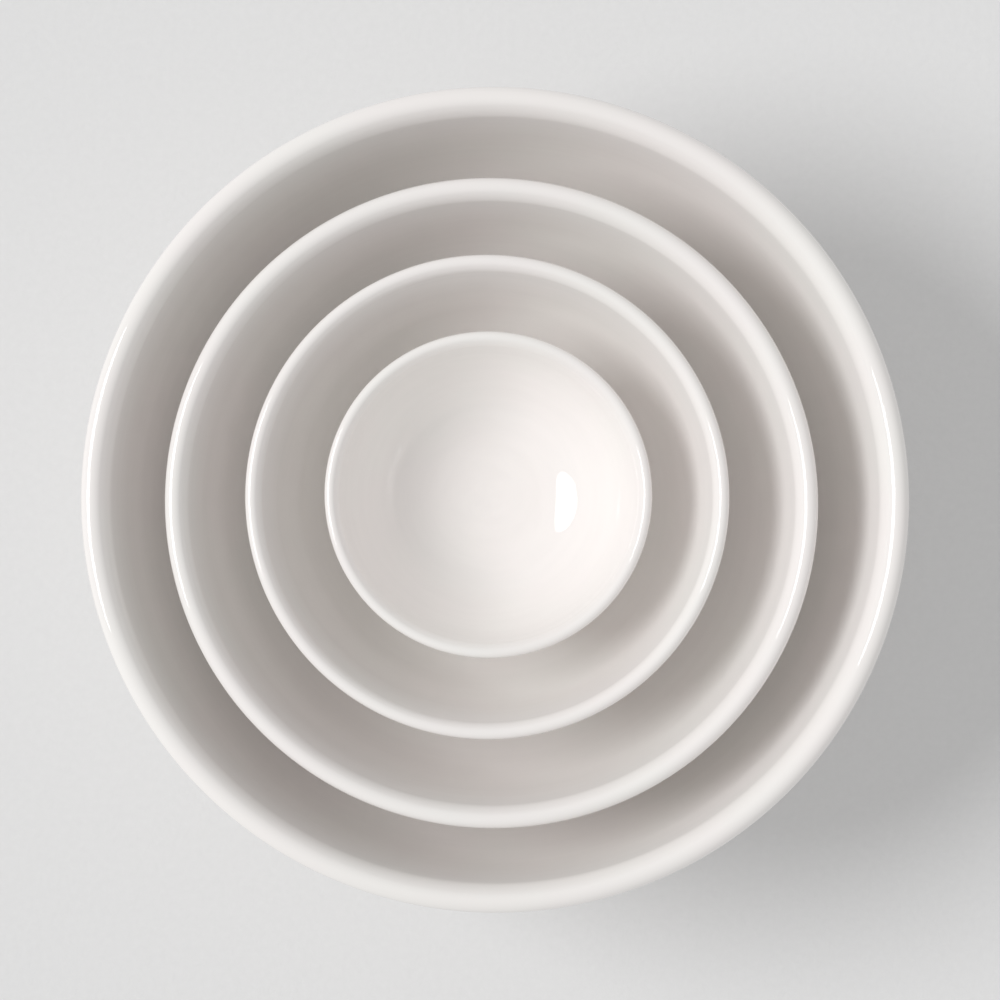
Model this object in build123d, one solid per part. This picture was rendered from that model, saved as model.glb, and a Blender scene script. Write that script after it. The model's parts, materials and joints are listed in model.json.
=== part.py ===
from build123d import *
import os
from dataclasses import dataclass
from math import asin, cos, degrees, radians, sin, tan

# A nest of four white porcelain mixing bowls with thick rolled rims, in millimetres. +Z is up,
# and the origin is in the middle of the large bowl's foot. Each bowl is one fired piece. Its foot
# stands on the flat floor of the bowl around it, and the four rims end nearly level.


@dataclass
class Bowl:
    """The driving sizes of one bowl, and where it stands."""

    name: str
    diameter: float  # over the rim
    height: float  # from the foot to the crown of the rim
    rim_width: float  # across the rolled rim, seen from above
    straight: float  # length of the straight side below the rim, inside
    centre: tuple  # where the axis stands, because a nested bowl is set down by hand


BOWLS = [
    Bowl("large_bowl", 254.0, 101.6, 9.3, 15.5, (0.0, 0.0)),
    Bowl("medium_bowl", 200.6, 86.0, 7.3, 16.0, (-1.1, -1.1)),
    Bowl("small_bowl", 148.8, 70.0, 5.3, 16.0, (-2.4, 0.7)),
    Bowl("mini_bowl", 100.8, 51.0, 4.6, 6.55, (-2.1, 1.5)),
]

# Bottom: every bowl has the same foot height and base, which sets the step between nested bowls.
FOOT_RECESS = 8.0  # height of the hollow under the base, inside the foot ring
BASE = 6.5
FLOOR_HEIGHT = FOOT_RECESS + BASE
FOOT_SHARE = 0.42  # radius of the foot ring, of the rim's radius
FOOT_RING_SHARE = 1.3  # thickness of the foot ring, of the side's
FOOT_DRAFT = 0.5  # how far each side of the ring leans in on its way down
FOOT_EDGE_ROUND = 1.0
FOOT_CORNER_ROUND = 2.0

# Side: slopes are in degrees from level.
KNUCKLE_SLOPE = 50.0  # where the curve out of the floor ends
SIDE_SLOPE = 75.0  # where the side is straight, below the rim
SIDE_CURVE_SHARE = 0.9  # radius of the curve between them, of the rim's radius
WALL_SHARE = 0.55  # thickness of the side, of the rim's width

# Rim: shares of its width.
CROWN_SLOPE = 45.0  # where the inner flank ends and the crown begins
FLANK_SHARE = 1.3
CROWN_SHARE = 0.38
SKIRT_SHARE = 0.42  # upright stretch below the crown, outside
TUCK_SHARE = 0.22
SKIRT_LEAN = 6.0  # degrees that the upright stretch leans in
JOIN_SHARE = 0.14  # hollow where the underside of the rim runs into the side


def direction(slope):
    """Unit vector at a slope in degrees above level."""
    return Vector(cos(radians(slope)), sin(radians(slope)))


def bowl_section(bowl):
    """Half section of a bowl, with its axis upright at x = 0."""
    radius = bowl.diameter / 2
    side_radius = SIDE_CURVE_SHARE * radius
    wall = WALL_SHARE * bowl.rim_width
    flank_radius = FLANK_SHARE * bowl.rim_width
    crown_radius = CROWN_SHARE * bowl.rim_width

    # The rim's inside and the side are set out from the crown down, and the knuckle takes what is
    # left of the depth.
    knuckle, side, crown = (radians(a) for a in (KNUCKLE_SLOPE, SIDE_SLOPE, CROWN_SLOPE))
    rise = crown_radius * (1 - cos(crown)) + flank_radius * (cos(crown) - cos(side))
    rise += bowl.straight * sin(side) + side_radius * (cos(knuckle) - cos(side))
    run = crown_radius * (1 + sin(crown)) + flank_radius * (sin(side) - sin(crown))
    run += bowl.straight * cos(side) + side_radius * (sin(side) - sin(knuckle))
    knuckle_radius = (bowl.height - FLOOR_HEIGHT - rise) / (1 - cos(knuckle))
    floor_radius = radius - run - knuckle_radius * sin(knuckle)

    # Inside, from the middle of the floor to the crown, then down the outside of the rim.
    floor = Line((0, FLOOR_HEIGHT), (floor_radius, FLOOR_HEIGHT))
    inner_knuckle = JernArc(floor @ 1, floor % 1, knuckle_radius, KNUCKLE_SLOPE)
    inner_side = JernArc(inner_knuckle @ 1, inner_knuckle % 1, side_radius, SIDE_SLOPE - KNUCKLE_SLOPE)
    inner_straight = Line(inner_side @ 1, inner_side @ 1 + bowl.straight * direction(SIDE_SLOPE))
    flank = JernArc(inner_straight @ 1, inner_straight % 1, flank_radius, CROWN_SLOPE - SIDE_SLOPE)
    crown_arc = JernArc(flank @ 1, flank % 1, crown_radius, -CROWN_SLOPE - 90 - SKIRT_LEAN)
    skirt = Line(crown_arc @ 1, crown_arc @ 1 + SKIRT_SHARE * bowl.rim_width * (crown_arc % 1))
    tuck = JernArc(skirt @ 1, skirt % 1, TUCK_SHARE * bowl.rim_width, SKIRT_LEAN - 90)

    # Outside, the same curves offset by the wall, from the foot up to the underside of the rim.
    foot_radius = FOOT_SHARE * radius
    knuckle_centre = Vector(floor_radius, FLOOR_HEIGHT + knuckle_radius)
    outer_knuckle_radius = knuckle_radius + wall
    foot_slope = degrees(asin((foot_radius - floor_radius) / outer_knuckle_radius))
    outer_knuckle = CenterArc(
        knuckle_centre, outer_knuckle_radius, foot_slope - 90, KNUCKLE_SLOPE - foot_slope
    )
    outer_side = JernArc(
        outer_knuckle @ 1, outer_knuckle % 1, side_radius + wall, SIDE_SLOPE - KNUCKLE_SLOPE
    )
    below_rim = (tuck @ 1).Y
    outer_top = Vector((outer_side @ 1).X + (below_rim - (outer_side @ 1).Y) / tan(side), below_rim)
    outer_straight = Line(outer_side @ 1, outer_top)
    underside = Line(tuck @ 1, outer_top)

    ring_inside = foot_radius - FOOT_RING_SHARE * wall
    foot = Polyline(
        outer_knuckle @ 0,
        (foot_radius - FOOT_DRAFT, 0),
        (ring_inside + FOOT_DRAFT, 0),
        (ring_inside, FOOT_RECESS),
        (0, FOOT_RECESS),
    )
    axis = Line((0, FOOT_RECESS), (0, FLOOR_HEIGHT))
    inside = [floor, inner_knuckle, inner_side, inner_straight]
    rim = [flank, crown_arc, skirt, tuck, underside]
    outside = [outer_straight, outer_side, outer_knuckle]
    section = make_face(inside + rim + outside + [foot, axis])

    foot_edges = [v for v in section.vertices() if v.Y < FOOT_EDGE_ROUND]
    section = fillet(foot_edges, FOOT_EDGE_ROUND)
    corners = [outer_knuckle @ 0, Vector(ring_inside, FOOT_RECESS)]
    foot_corners = [section.vertices().sort_by_distance(corner)[0] for corner in corners]
    section = fillet(foot_corners, FOOT_CORNER_ROUND)
    join = section.vertices().sort_by_distance(outer_top)[0]
    return fillet(join, JOIN_SHARE * bowl.rim_width)


os.makedirs("parts", exist_ok=True)
for level, bowl in enumerate(BOWLS):
    solid = revolve(Plane.XZ * bowl_section(bowl), Axis.Z)
    placed = Pos(bowl.centre[0], bowl.centre[1], level * FLOOR_HEIGHT) * solid
    placed.label = bowl.name
    export_step(placed, f"parts/{bowl.name}.step")
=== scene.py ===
import json
import math
from math import cos, radians, sin

import bmesh
import bpy
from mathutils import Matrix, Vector


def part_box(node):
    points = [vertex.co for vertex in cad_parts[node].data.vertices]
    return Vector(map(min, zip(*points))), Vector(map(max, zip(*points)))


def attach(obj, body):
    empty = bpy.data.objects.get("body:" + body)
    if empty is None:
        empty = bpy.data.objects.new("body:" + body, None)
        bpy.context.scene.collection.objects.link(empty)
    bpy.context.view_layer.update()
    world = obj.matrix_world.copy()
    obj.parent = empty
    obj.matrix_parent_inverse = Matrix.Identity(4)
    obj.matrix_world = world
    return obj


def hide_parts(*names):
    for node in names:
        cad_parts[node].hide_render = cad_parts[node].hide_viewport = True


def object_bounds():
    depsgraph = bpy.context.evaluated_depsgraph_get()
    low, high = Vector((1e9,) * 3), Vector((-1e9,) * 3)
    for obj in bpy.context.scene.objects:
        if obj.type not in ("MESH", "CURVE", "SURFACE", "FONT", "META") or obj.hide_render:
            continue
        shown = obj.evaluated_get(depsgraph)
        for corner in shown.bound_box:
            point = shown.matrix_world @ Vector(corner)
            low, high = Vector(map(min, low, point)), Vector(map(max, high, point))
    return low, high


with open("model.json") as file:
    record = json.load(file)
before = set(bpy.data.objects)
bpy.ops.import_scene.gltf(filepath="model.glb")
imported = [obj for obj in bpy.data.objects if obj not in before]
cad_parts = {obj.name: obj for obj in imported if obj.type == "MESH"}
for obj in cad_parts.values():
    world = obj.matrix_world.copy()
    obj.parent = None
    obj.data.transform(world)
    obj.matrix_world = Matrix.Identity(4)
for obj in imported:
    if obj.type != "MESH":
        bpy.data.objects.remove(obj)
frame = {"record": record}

# A nest of four white glazed porcelain mixing bowls on a plain pale floor, under soft studio
# light from the left. Lengths are in metres and angles in degrees.

MM = 0.001
CAD_BOX = [list(corner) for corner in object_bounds()]

# The section of a bowl, as in the CAD model.
FOOT_RECESS = 8.0 * MM
BASE = 6.5 * MM
FLOOR_HEIGHT = FOOT_RECESS + BASE
FOOT_SHARE = 0.42  # radius of the foot ring, of the rim's radius
FOOT_RING_SHARE = 1.3  # thickness of the foot ring, of the side's
FOOT_DRAFT = 0.5 * MM
KNUCKLE_SLOPE = 50.0
SIDE_SLOPE = 75.0
SIDE_CURVE_SHARE = 0.9
WALL_SHARE = 0.55  # thickness of the side, of the rim's width
CROWN_SLOPE = 45.0
SKIRT_LEAN = 6.0
FLANK_SHARE = 1.3
CROWN_SHARE = 0.38
SKIRT_SHARE = 0.42
TUCK_SHARE = 0.22

# Of each bowl: rim width, length of the straight side, and what firing did to its roundness, as
# how far the short diameter falls behind the long one and which way it lies.
BOWLS = {
    "large_bowl": (9.3 * MM, 15.5 * MM, 0.003, 64.0),
    "medium_bowl": (7.3 * MM, 16.0 * MM, 0.007, 62.0),
    "small_bowl": (5.3 * MM, 16.0 * MM, 0.002, 20.0),
    "mini_bowl": (4.6 * MM, 6.55 * MM, 0.003, 66.0),
}

# Mesh.
SEGMENTS = 288  # around a bowl
MESH_INSET = 0.02 * MM  # room to the coarser CAD box at the rims and to the floor at the feet
EDGE_ROUND = 1.0 * MM
CORNER_ROUND = 2.0 * MM
BEVEL_STEPS = 5
RIM_WAVE = 0.12 * MM  # how far the rim dips as it goes round
RIM_DIPS = 3  # in one round

# Glaze. Noise scales are in repeats per metre.
STREAK_SCALE = 260.0  # across the turned streaks
STREAK_CONTRAST = (0.3, 0.7)
STREAK_SHADE = (0.985, 1.005)
STREAK_DEPTH = 0.012 * MM
DRIFT_SCALE = 22.0
DRIFT_CONTRAST = (0.35, 0.65)
SPECK_SCALE = 55.0
SPECK_SHARE = 0.10  # of the cells, the part that holds one
SPECK_SIZE = (0.004, 0.012)  # of a cell's width, to the speck's core and to its edge
SPECK_STRENGTH = 0.7
PINHOLE_DEPTH = 0.06 * MM
GLOSS_SCALE = 60.0
GLOSS_CONTRAST = (0.3, 0.7)
GLAZE_ROUGHNESS = (0.02, 0.045)
GLAZE_IOR = 1.6
PEEL_SCALE = 240.0
PEEL_DEPTH = 0.01 * MM

# The bare bottom of a foot ring.
BARE_HEIGHT = (0.7 * MM, 1.0 * MM)  # where the glaze starts
BARE_RAGGED_SCALE = 900.0
BARE_RAGGED = 0.9 * MM
BARE_ROUGHNESS = 0.6  # on top of the glaze's
SCUFF_SCALE = 420.0
SCUFF_CONTRAST = (0.52, 0.72)
SCUFF_STRENGTH = 0.55
GRAIN_SCALE = 5000.0
GRAIN_DEPTH = 0.06 * MM

# Light and camera.
DISPLAY_GAMMA = 1.25
KEY_ELEVATION = 47.0
KEY_HEADING = -5.5  # which way the light travels, from +X towards +Y
KEY_STRENGTH = 1.65
KEY_SPREAD = 30.0  # how wide the lamp looks from the nest
FILL_STRENGTH = 0.45
CAMERA_HEIGHT = 2.0
CAMERA_LEAN = 1.8  # from straight down, with the camera towards -Y
CAMERA_AIM_HEIGHT = 0.1
CAMERA_OFFSET = (1.5 * MM, -0.4 * MM)
CAMERA_LENS = 223.4
SENSOR_WIDTH = 36.0
FLOOR_HALF_WIDTH = 8.0
FLOOR_TONE = 0.8
FLOOR_ROUGHNESS = 0.9
FLOOR_SPECULAR = 0.1
TOOTH_SCALE = 420.0
TOOTH_SHADE = 0.06
TOOTH_STRENGTH = 0.3
TOOTH_DEPTH = 0.4 * MM


def along(slope):
    """Unit vector in the section plane that heads up at a slope."""
    return Vector((cos(radians(slope)), sin(radians(slope))))


def to_the_right(slope):
    """Unit vector to the right of a heading."""
    return Vector((sin(radians(slope)), -cos(radians(slope))))


class Pen:
    """Draws half a section, as points (radius, height), from a start and a heading."""

    def __init__(self, start, heading):
        self.points = [Vector(start)]
        self.heading = heading

    def line(self, length, steps=1):
        start = self.points[-1]
        for step in range(1, steps + 1):
            self.points.append(start + along(self.heading) * (length * step / steps))

    def turn(self, radius, angle, steps):
        """Arc through an angle, to the left where it is positive."""
        reach = math.copysign(radius, angle)
        centre = self.points[-1] - to_the_right(self.heading) * reach
        for step in range(1, steps + 1):
            self.points.append(centre + to_the_right(self.heading + angle * step / steps) * reach)
        self.heading += angle


def bowl_outline(radius, height, rim_width, straight):
    """Outline from the middle of the floor, over the rim, to the middle of the base, and the
    rounds of its corners, as {index of the point: width}."""
    wall = WALL_SHARE * rim_width
    side_radius = SIDE_CURVE_SHARE * radius
    flank_radius = FLANK_SHARE * rim_width
    crown_radius = CROWN_SHARE * rim_width
    knuckle, side, crown = (radians(a) for a in (KNUCKLE_SLOPE, SIDE_SLOPE, CROWN_SLOPE))
    rise = crown_radius * (1 - cos(crown)) + flank_radius * (cos(crown) - cos(side))
    rise += straight * sin(side) + side_radius * (cos(knuckle) - cos(side))
    run = crown_radius * (1 + sin(crown)) + flank_radius * (sin(side) - sin(crown))
    run += straight * cos(side) + side_radius * (sin(side) - sin(knuckle))
    knuckle_radius = (height - FLOOR_HEIGHT - rise) / (1 - cos(knuckle))
    floor_radius = radius - run - knuckle_radius * sin(knuckle)

    inside = Pen((0, FLOOR_HEIGHT), 0)
    inside.line(floor_radius, 12)
    inside.turn(knuckle_radius, KNUCKLE_SLOPE, 28)
    inside.turn(side_radius, SIDE_SLOPE - KNUCKLE_SLOPE, 22)
    inside.line(straight, 6)
    inside.turn(flank_radius, CROWN_SLOPE - SIDE_SLOPE, 10)
    inside.turn(crown_radius, -CROWN_SLOPE - 90 - SKIRT_LEAN, 30)
    inside.line(SKIRT_SHARE * rim_width, 3)
    inside.turn(TUCK_SHARE * rim_width, SKIRT_LEAN - 90, 10)

    # The outside is drawn from the foot up and then turned round.
    foot_radius = FOOT_SHARE * radius
    outer_knuckle_radius = knuckle_radius + wall
    foot_slope = math.degrees(math.asin((foot_radius - floor_radius) / outer_knuckle_radius))
    knuckle_centre = Vector((floor_radius, FLOOR_HEIGHT + knuckle_radius))
    foot_top = knuckle_centre + to_the_right(foot_slope) * outer_knuckle_radius
    outside = Pen(foot_top, foot_slope)
    outside.turn(outer_knuckle_radius, KNUCKLE_SLOPE - foot_slope, 24)
    outside.turn(side_radius + wall, SIDE_SLOPE - KNUCKLE_SLOPE, 20)
    outside.line((inside.points[-1].y - outside.points[-1].y) / sin(side), 5)

    ring_inside = foot_radius - FOOT_RING_SHARE * wall
    foot = [
        Vector((foot_radius - FOOT_DRAFT, MESH_INSET)),
        Vector((ring_inside + FOOT_DRAFT, MESH_INSET)),
        Vector((ring_inside, FOOT_RECESS)),
        Vector((ring_inside / 2, FOOT_RECESS)),
        Vector((0, FOOT_RECESS)),
    ]
    points = inside.points + outside.points[::-1] + foot
    under_rim = len(inside.points)
    foot_start = len(points) - len(foot)
    rounds = {
        under_rim: EDGE_ROUND,
        foot_start - 1: CORNER_ROUND,
        foot_start: EDGE_ROUND,
        foot_start + 1: EDGE_ROUND,
        foot_start + 2: CORNER_ROUND,
    }
    return points, rounds


def smooth_step(value):
    value = min(1.0, max(0.0, value))
    return value * value * (3 - 2 * value)


def lathe(name, points, rounds, centre, bottom, height, loss, short_axis):
    """Turns an outline into a closed mesh, with the fired bowl's slight loss of roundness."""
    mesh = bmesh.new()
    bevel_layer = mesh.edges.layers.float.new("bevel_weight_edge")
    rim_radius = max(point.x for point in points)
    rings = []
    for point in points:
        on_axis = point.x < MESH_INSET
        ring = []
        for segment in range(1 if on_axis else SEGMENTS):
            angle = 2 * math.pi * segment / SEGMENTS
            share = smooth_step(point.y / height)
            narrowing = loss * share * (0.5 + 0.5 * cos(2 * (angle - radians(short_axis))))
            dip = RIM_WAVE * share ** 2 * (0.5 + 0.5 * sin(RIM_DIPS * angle + short_axis))
            reach = point.x * (1 - narrowing) - MESH_INSET * point.x / rim_radius
            x = centre[0] + reach * cos(angle)
            y = centre[1] + reach * sin(angle)
            ring.append(mesh.verts.new((x, y, bottom + point.y - dip)))
        rings.append(ring)
    for inner, outer in zip(rings, rings[1:]):
        for segment in range(SEGMENTS):
            after = (segment + 1) % SEGMENTS
            if len(inner) == 1:
                corners = (inner[0], outer[segment], outer[after])
            elif len(outer) == 1:
                corners = (inner[segment], outer[0], inner[after])
            else:
                corners = (inner[segment], outer[segment], outer[after], inner[after])
            mesh.faces.new(corners).smooth = True
    for index, width in rounds.items():
        ring = rings[index]
        for segment in range(SEGMENTS):
            edge = mesh.edges.get((ring[segment], ring[(segment + 1) % SEGMENTS]))
            edge[bevel_layer] = width / CORNER_ROUND
    mesh.normal_update()
    data = bpy.data.meshes.new(name)
    mesh.to_mesh(data)
    mesh.free()
    piece = bpy.data.objects.new(name, data)
    bpy.context.scene.collection.objects.link(piece)
    bevel = piece.modifiers.new("rounds", "BEVEL")
    bevel.limit_method = "WEIGHT"
    bevel.width = CORNER_ROUND
    bevel.segments = BEVEL_STEPS
    return piece


class Nodes:
    """Short calls for building a node tree."""

    def __init__(self, tree):
        self.tree = tree
        tree.nodes.clear()

    def add(self, kind, inputs=(), **settings):
        node = self.tree.nodes.new(kind)
        for key, value in settings.items():
            setattr(node, key, value)
        for key, value in dict(inputs).items():
            self.put(node.inputs[key], value)
        return node

    def put(self, socket, value):
        if isinstance(value, bpy.types.NodeSocket):
            self.tree.links.new(value, socket)
        else:
            socket.default_value = value

    def math(self, operation, first, second=0.0, third=0.0):
        inputs = {0: first, 1: second, 2: third}
        return self.add("ShaderNodeMath", inputs, operation=operation).outputs[0]

    def vector(self, operation, first, second=(0.0, 0.0, 0.0)):
        inputs = {0: first, 1: second}
        return self.add("ShaderNodeVectorMath", inputs, operation=operation)

    def noise(self, vector, scale, detail=2.0, roughness=0.5):
        inputs = {"Vector": vector, "Scale": scale, "Detail": detail, "Roughness": roughness}
        return self.add("ShaderNodeTexNoise", inputs).outputs["Fac"]

    def ramp(self, value, span, to_low=0.0, to_high=1.0):
        """Soft step from one value to another, across a span of the input."""
        inputs = {
            "Value": value,
            "From Min": span[0],
            "From Max": span[1],
            "To Min": to_low,
            "To Max": to_high,
        }
        node = self.add("ShaderNodeMapRange", inputs, interpolation_type="SMOOTHSTEP")
        return node.outputs["Result"]

    def grey(self, value):
        return self.add("ShaderNodeCombineColor", {0: value, 1: value, 2: value}).outputs[0]

    def mix(self, factor, first, second, blend="MIX"):
        node = self.add("ShaderNodeMix", data_type="RGBA", blend_type=blend)
        self.put(node.inputs["Factor"], factor)
        self.put(node.inputs["A"], first)
        self.put(node.inputs["B"], second)
        return node.outputs["Result"]


def colour(red, green, blue):
    return (red, green, blue, 1.0)


GLAZE_PINK = colour(0.982, 0.934, 0.909)
GLAZE_GREEN = colour(0.974, 0.946, 0.911)
BISQUE = colour(0.66, 0.60, 0.53)
SCUFF = colour(0.36, 0.34, 0.32)
IRON_SPECK = colour(0.22, 0.17, 0.13)
WHITE = colour(1.0, 1.0, 1.0)


def porcelain(name, centre, bottom, seed):
    """Glossy white glaze over the whole bowl, apart from the bare bottom of its foot ring."""
    material = bpy.data.materials.new(name + "_porcelain")
    material.use_nodes = True
    nodes = Nodes(material.node_tree)
    coordinates = nodes.add("ShaderNodeTexCoord").outputs["Object"]
    start = (centre[0], centre[1], bottom)
    place = nodes.vector("SUBTRACT", coordinates, start).outputs[0]
    height = nodes.add("ShaderNodeSeparateXYZ", {0: place}).outputs["Z"]
    flat = nodes.vector("MULTIPLY", place, (1.0, 1.0, 0.0)).outputs[0]
    reach = nodes.vector("LENGTH", flat).outputs["Value"]
    heading = nodes.vector("NORMALIZE", flat).outputs[0]
    shifted = nodes.vector("ADD", place, (seed * 0.37, seed * 0.61, seed * 0.83)).outputs[0]

    # Streaks that the forming tool left as the bowl turned: fine across, long around.
    across = nodes.math("MULTIPLY", reach, STREAK_SCALE)
    turned = nodes.add("ShaderNodeCombineXYZ", {2: across}).outputs[0]
    turned = nodes.vector("ADD", heading, turned).outputs[0]
    deep = nodes.math("MULTIPLY_ADD", height, STREAK_SCALE, float(seed))
    streak_inputs = {"Vector": turned, "W": deep, "Scale": 1.0, "Detail": 3.0, "Roughness": 0.6}
    streaks = nodes.add("ShaderNodeTexNoise", streak_inputs, noise_dimensions="4D").outputs["Fac"]

    # Tint that drifts over hand-wide patches, with the streaks and a few specks of iron in it.
    drift = nodes.ramp(nodes.noise(shifted, DRIFT_SCALE, 3.0), DRIFT_CONTRAST)
    tint = nodes.mix(drift, GLAZE_PINK, GLAZE_GREEN)
    shade = nodes.ramp(streaks, STREAK_CONTRAST, *STREAK_SHADE)
    tint = nodes.mix(1.0, tint, nodes.grey(shade), "MULTIPLY")
    cells = nodes.add("ShaderNodeTexVoronoi", {"Vector": shifted, "Scale": SPECK_SCALE})
    lot = nodes.add("ShaderNodeSeparateColor", {0: cells.outputs["Color"]}).outputs[0]
    chosen = nodes.math("LESS_THAN", lot, SPECK_SHARE)
    dot = nodes.ramp(cells.outputs["Distance"], SPECK_SIZE, 1.0, 0.0)
    speck = nodes.math("MULTIPLY", chosen, dot)
    tint = nodes.mix(nodes.math("MULTIPLY", speck, SPECK_STRENGTH), tint, IRON_SPECK)

    # The bare, scuffed foot, where the glaze ends in a ragged line.
    ragged = nodes.noise(shifted, BARE_RAGGED_SCALE, 3.0)
    edge = nodes.math("MULTIPLY_ADD", ragged, -BARE_RAGGED, height)
    bare = nodes.ramp(edge, BARE_HEIGHT, 1.0, 0.0)
    scuffs = nodes.noise(shifted, SCUFF_SCALE, 6.0, 0.75)
    scuffs = nodes.ramp(scuffs, SCUFF_CONTRAST, 0.0, SCUFF_STRENGTH)
    foot = nodes.mix(scuffs, BISQUE, SCUFF)
    base_colour = nodes.mix(bare, tint, foot)

    roughness = nodes.noise(shifted, GLOSS_SCALE, 4.0, 0.6)
    roughness = nodes.ramp(roughness, GLOSS_CONTRAST, *GLAZE_ROUGHNESS)
    roughness = nodes.math("MULTIPLY_ADD", bare, BARE_ROUGHNESS, roughness)

    # Orange peel of the glaze, the turned streaks under it, pinholes and the grain of the foot.
    peel = nodes.noise(shifted, PEEL_SCALE, 2.0)
    grain = nodes.math("MULTIPLY", nodes.noise(shifted, GRAIN_SCALE, 2.0), bare)
    relief = nodes.math("MULTIPLY", peel, PEEL_DEPTH)
    relief = nodes.math("MULTIPLY_ADD", streaks, STREAK_DEPTH, relief)
    relief = nodes.math("MULTIPLY_ADD", speck, -PINHOLE_DEPTH, relief)
    relief = nodes.math("MULTIPLY_ADD", grain, GRAIN_DEPTH, relief)
    bump = nodes.add("ShaderNodeBump", {"Strength": 1.0, "Distance": 1.0, "Height": relief})

    shader = nodes.add("ShaderNodeBsdfPrincipled", {
        "Base Color": base_colour,
        "Roughness": roughness,
        "IOR": GLAZE_IOR,
        "Normal": bump.outputs[0],
    })
    nodes.add("ShaderNodeOutputMaterial", {"Surface": shader.outputs[0]})
    return material


def make_bowl(name, seed):
    low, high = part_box(name)
    rim_width, straight, loss, short_axis = BOWLS[name]
    centre = ((low[0] + high[0]) / 2, (low[1] + high[1]) / 2)
    height = high[2] - low[2]
    points, rounds = bowl_outline((high[0] - low[0]) / 2, height, rim_width, straight)
    piece = lathe(name + "_fired", points, rounds, centre, low[2], height, loss, short_axis)
    piece.data.materials.append(porcelain(name, centre, low[2], seed))
    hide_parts(name)
    bodies = frame["record"]["behaviour"]["bodies"]
    body = next(body for body, members in bodies.items() if name in members)
    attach(piece, body)


def make_floor():
    """A wide sheet of pale card with a fine tooth."""
    mesh = bmesh.new()
    bmesh.ops.create_grid(mesh, x_segments=1, y_segments=1, size=FLOOR_HALF_WIDTH)
    data = bpy.data.meshes.new("floor")
    mesh.to_mesh(data)
    mesh.free()
    floor = bpy.data.objects.new("floor", data)
    bpy.context.scene.collection.objects.link(floor)
    floor.location.z = CAD_BOX[0][2]
    material = bpy.data.materials.new("pale_card")
    material.use_nodes = True
    nodes = Nodes(material.node_tree)
    place = nodes.add("ShaderNodeTexCoord").outputs["Object"]
    tooth = nodes.noise(place, TOOTH_SCALE, 4.0, 0.6)
    tone = nodes.math("MULTIPLY_ADD", tooth, TOOTH_SHADE, FLOOR_TONE - TOOTH_SHADE / 2)
    bump_inputs = {"Strength": TOOTH_STRENGTH, "Distance": TOOTH_DEPTH, "Height": tooth}
    bump = nodes.add("ShaderNodeBump", bump_inputs)
    shader = nodes.add("ShaderNodeBsdfPrincipled", {
        "Base Color": nodes.grey(tone),
        "Roughness": FLOOR_ROUGHNESS,
        "Specular IOR Level": FLOOR_SPECULAR,
        "Normal": bump.outputs[0],
    })
    nodes.add("ShaderNodeOutputMaterial", {"Surface": shader.outputs[0]})
    data.materials.append(material)


def make_lights():
    """One wide, soft lamp from the left and an even fill from all round."""
    lamp = bpy.data.lights.new("key", "SUN")
    lamp.energy = KEY_STRENGTH
    lamp.angle = radians(KEY_SPREAD)
    key = bpy.data.objects.new("key", lamp)
    bpy.context.scene.collection.objects.link(key)
    level = cos(radians(KEY_ELEVATION))
    travel = Vector((
        level * cos(radians(KEY_HEADING)),
        level * sin(radians(KEY_HEADING)),
        -sin(radians(KEY_ELEVATION)),
    ))
    key.rotation_euler = travel.to_track_quat("-Z", "Y").to_euler()

    world = bpy.data.worlds.new("fill")
    world.use_nodes = True
    nodes = Nodes(world.node_tree)
    fill = {"Color": WHITE, "Strength": FILL_STRENGTH}
    background = nodes.add("ShaderNodeBackground", fill)
    nodes.add("ShaderNodeOutputWorld", {"Surface": background.outputs[0]})
    bpy.context.scene.world = world


def make_camera():
    """Nearly straight above the nest, with +Y at the top of the picture."""
    data = bpy.data.cameras.new("camera")
    data.lens = CAMERA_LENS
    data.sensor_width = SENSOR_WIDTH
    data.clip_end = 4 * FLOOR_HALF_WIDTH
    camera = bpy.data.objects.new("camera", data)
    bpy.context.scene.collection.objects.link(camera)
    lean = radians(CAMERA_LEAN)
    reach = CAMERA_HEIGHT - CAMERA_AIM_HEIGHT
    back = CAMERA_OFFSET[1] - reach * sin(lean)
    camera.location = (CAMERA_OFFSET[0], back, CAMERA_AIM_HEIGHT + reach * cos(lean))
    camera.rotation_euler = (lean, 0, 0)
    bpy.context.scene.camera = camera


for number, bowl in enumerate(BOWLS, start=1):
    make_bowl(bowl, number)
make_floor()
make_lights()
make_camera()
view = bpy.context.scene.view_settings
view.view_transform = "Standard"
view.gamma = DISPLAY_GAMMA
